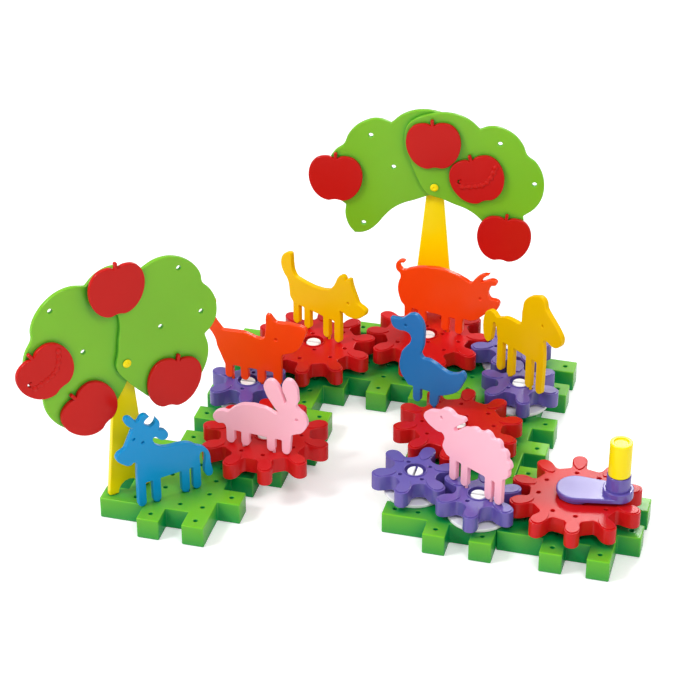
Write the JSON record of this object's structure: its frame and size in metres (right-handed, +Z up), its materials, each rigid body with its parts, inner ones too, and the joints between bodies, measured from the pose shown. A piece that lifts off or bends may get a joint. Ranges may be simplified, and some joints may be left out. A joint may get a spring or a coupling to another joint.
{
  "type": "crank gear toy",
  "caption": "Farm gear toy: a hand crank turns a loop of meshing gears on interlocking plates; animals and a tree ride on them, and apple trees have swinging foliage.",
  "frame": {"origin": "on the table, under the middle of the whole set's bounding box", "axes": "+X to the right as seen from the front, +Y towards the back, +Z up"},
  "size_m": [0.4038, 0.3312, 0.2034],
  "materials": {
    "plate_green": "moulded gloss",
    "leaf_green": "moulded gloss",
    "gear_red": "moulded gloss",
    "apple_red": "moulded gloss",
    "gear_purple": "moulded gloss",
    "hub_white": "moulded gloss",
    "yellow": "moulded gloss",
    "horse_yellow": "moulded gloss",
    "cow_blue": "moulded gloss",
    "goose_blue": "moulded gloss",
    "pink": "moulded gloss",
    "orange": "moulded gloss"
  },
  "bodies": {
    "base": {"base_plate_1": "plate_green", "base_plate_2": "plate_green", "base_plate_3": "plate_green", "base_plate_4": "plate_green", "base_plate_5": "plate_green", "base_plate_6": "plate_green", "base_plate_7": "plate_green", "base_plate_8": "plate_green", "axle_hub_1": "hub_white", "axle_hub_2": "hub_white", "axle_hub_3": "hub_white", "axle_hub_4": "hub_white", "axle_hub_5": "hub_white", "axle_hub_6": "hub_white", "axle_hub_7": "hub_white", "axle_hub_8": "hub_white", "axle_hub_9": "hub_white", "axle_hub_10": "hub_white", "figure_cow": "cow_blue", "tree_trunk_1": "yellow", "tree_rivet_1": "yellow"},
    "crank": {"large_gear_1": "gear_red", "crank_arm": "gear_purple"},
    "knob": {"crank_knob": "yellow"},
    "small_gear_1": {"small_gear_1": "gear_purple", "figure_sheep": "pink"},
    "small_gear_2": {"small_gear_2": "gear_purple"},
    "large_gear_2": {"large_gear_2": "gear_red", "figure_goose": "goose_blue"},
    "small_gear_3": {"small_gear_3": "gear_purple", "figure_horse": "horse_yellow"},
    "small_gear_4": {"small_gear_4": "gear_purple"},
    "large_gear_3": {"large_gear_3": "gear_red", "figure_pig": "orange", "tree_trunk_2": "yellow", "tree_rivet_2": "yellow"},
    "large_gear_4": {"large_gear_4": "gear_red", "figure_dog": "horse_yellow"},
    "small_gear_5": {"small_gear_5": "gear_purple", "figure_cat": "orange"},
    "large_gear_5": {"large_gear_5": "gear_red", "figure_rabbit": "pink"},
    "foliage_front_1": {"foliage_front_1": "leaf_green"},
    "foliage_back_1": {"foliage_back_1": "leaf_green"},
    "apple_1_1": {"apple_1_1": "apple_red"},
    "apple_1_2": {"apple_1_2": "apple_red"},
    "apple_1_3": {"apple_1_3": "apple_red"},
    "apple_1_4": {"apple_1_4": "apple_red"},
    "foliage_front_2": {"foliage_front_2": "leaf_green"},
    "foliage_back_2": {"foliage_back_2": "leaf_green"},
    "apple_2_1": {"apple_2_1": "apple_red"},
    "apple_2_2": {"apple_2_2": "apple_red"},
    "apple_2_3": {"apple_2_3": "apple_red"},
    "apple_2_4": {"apple_2_4": "apple_red"}
  },
  "joints": [
    {"name": "crank_turn", "type": "hinge", "parent": "base", "child": "crank", "pos_m": [0.15403, -0.05563, 0.02], "axis": [0, 0, 1], "range_deg": [-70, 220]},
    {"name": "knob_spin", "type": "hinge", "parent": "crank", "child": "knob", "pos_m": [0.18198, -0.05396, 0.044], "axis": [0, 0, 1], "continuous": true},
    {"name": "small_gear_1_turn", "type": "hinge", "parent": "base", "child": "small_gear_1", "pos_m": [0.09003, -0.07162, 0.02], "axis": [0, 0, 1], "range_deg": [-368.7, 118.7]},
    {"name": "small_gear_2_turn", "type": "hinge", "parent": "base", "child": "small_gear_2", "pos_m": [0.04203, -0.05563, 0.02], "axis": [0, 0, 1], "range_deg": [-118.7, 368.7]},
    {"name": "large_gear_2_turn", "type": "hinge", "parent": "base", "child": "large_gear_2", "pos_m": [0.05803, 0.00838, 0.02], "axis": [0, 0, 1], "range_deg": [-222, 72]},
    {"name": "small_gear_3_turn", "type": "hinge", "parent": "base", "child": "small_gear_3", "pos_m": [0.09003, 0.07237, 0.02], "axis": [0, 0, 1], "range_deg": [-118.7, 368.7]},
    {"name": "small_gear_4_turn", "type": "hinge", "parent": "base", "child": "small_gear_4", "pos_m": [0.07403, 0.12037, 0.02], "axis": [0, 0, 1], "range_deg": [-368.7, 118.7]},
    {"name": "large_gear_3_turn", "type": "hinge", "parent": "base", "child": "large_gear_3", "pos_m": [0.01003, 0.12037, 0.02], "axis": [0, 0, 1], "range_deg": [-72, 222]},
    {"name": "large_gear_4_turn", "type": "hinge", "parent": "base", "child": "large_gear_4", "pos_m": [-0.06997, 0.08837, 0.02], "axis": [0, 0, 1], "range_deg": [-222, 72]},
    {"name": "small_gear_5_turn", "type": "hinge", "parent": "base", "child": "small_gear_5", "pos_m": [-0.10197, 0.02438, 0.02], "axis": [0, 0, 1], "range_deg": [-118.7, 368.7]},
    {"name": "large_gear_5_turn", "type": "hinge", "parent": "base", "child": "large_gear_5", "pos_m": [-0.06997, -0.03963, 0.02], "axis": [0, 0, 1], "range_deg": [-222, 72]},
    {"name": "foliage_front_1_swivel", "type": "hinge", "parent": "base", "child": "foliage_front_1", "pos_m": [-0.14997, -0.10362, 0.1233], "axis": [0.7071, -0.7071, 0], "range_deg": [-18, 18]},
    {"name": "foliage_back_1_swivel", "type": "hinge", "parent": "base", "child": "foliage_back_1", "pos_m": [-0.14997, -0.10362, 0.1233], "axis": [0.7071, -0.7071, 0], "range_deg": [-18, 18]},
    {"name": "apple_1_1_swivel", "type": "hinge", "parent": "foliage_front_1", "child": "apple_1_1", "pos_m": [-0.15363, -0.10728, 0.18651], "axis": [0.7071, -0.7071, 0], "range_deg": [-30, 30]},
    {"name": "apple_1_2_swivel", "type": "hinge", "parent": "foliage_front_1", "child": "apple_1_2", "pos_m": [-0.12588, -0.07954, 0.10326], "axis": [0.7071, -0.7071, 0], "range_deg": [-30, 30]},
    {"name": "apple_1_3_swivel", "type": "hinge", "parent": "foliage_back_1", "child": "apple_1_3", "pos_m": [-0.19208, -0.14574, 0.13735], "axis": [0.7071, -0.7071, 0], "range_deg": [-30, 30]},
    {"name": "apple_1_4_swivel", "type": "hinge", "parent": "foliage_back_1", "child": "apple_1_4", "pos_m": [-0.17155, -0.1252, 0.09818], "axis": [0.7071, -0.7071, 0], "range_deg": [-30, 30]},
    {"name": "foliage_front_2_swivel", "type": "hinge", "parent": "large_gear_3", "child": "foliage_front_2", "pos_m": [0.00487, 0.15956, 0.1409], "axis": [0.1305, -0.9914, 0], "range_deg": [-25, 25]},
    {"name": "foliage_back_2_swivel", "type": "hinge", "parent": "large_gear_3", "child": "foliage_back_2", "pos_m": [0.00487, 0.15956, 0.1409], "axis": [0.1305, -0.9914, 0], "range_deg": [-25, 25]},
    {"name": "apple_2_1_swivel", "type": "hinge", "parent": "foliage_front_2", "child": "apple_2_1", "pos_m": [0.00353, 0.15938, 0.1804], "axis": [0.1305, -0.9914, 0], "range_deg": [-30, 30]},
    {"name": "apple_2_2_swivel", "type": "hinge", "parent": "foliage_front_2", "child": "apple_2_2", "pos_m": [0.03515, 0.16354, 0.15426], "axis": [0.1305, -0.9914, 0], "range_deg": [-6, 30]},
    {"name": "apple_2_3_swivel", "type": "hinge", "parent": "foliage_front_2", "child": "apple_2_3", "pos_m": [0.0575, 0.16649, 0.1062], "axis": [0.1305, -0.9914, 0], "range_deg": [-30, 30]},
    {"name": "apple_2_4_swivel", "type": "hinge", "parent": "foliage_back_2", "child": "apple_2_4", "pos_m": [-0.06816, 0.14994, 0.14739], "axis": [0.1305, -0.9914, 0], "range_deg": [-30, 30]}
  ],
  "couplings": [
    {"joint": "small_gear_1_turn", "follows": "crank_turn", "ratio": -1.6667},
    {"joint": "small_gear_2_turn", "follows": "crank_turn", "ratio": 1.6667},
    {"joint": "large_gear_2_turn", "follows": "crank_turn", "ratio": -1},
    {"joint": "small_gear_3_turn", "follows": "crank_turn", "ratio": 1.6667},
    {"joint": "small_gear_4_turn", "follows": "crank_turn", "ratio": -1.6667},
    {"joint": "large_gear_3_turn", "follows": "crank_turn", "ratio": 1},
    {"joint": "large_gear_4_turn", "follows": "crank_turn", "ratio": -1},
    {"joint": "small_gear_5_turn", "follows": "crank_turn", "ratio": 1.6667},
    {"joint": "large_gear_5_turn", "follows": "crank_turn", "ratio": -1}
  ]
}
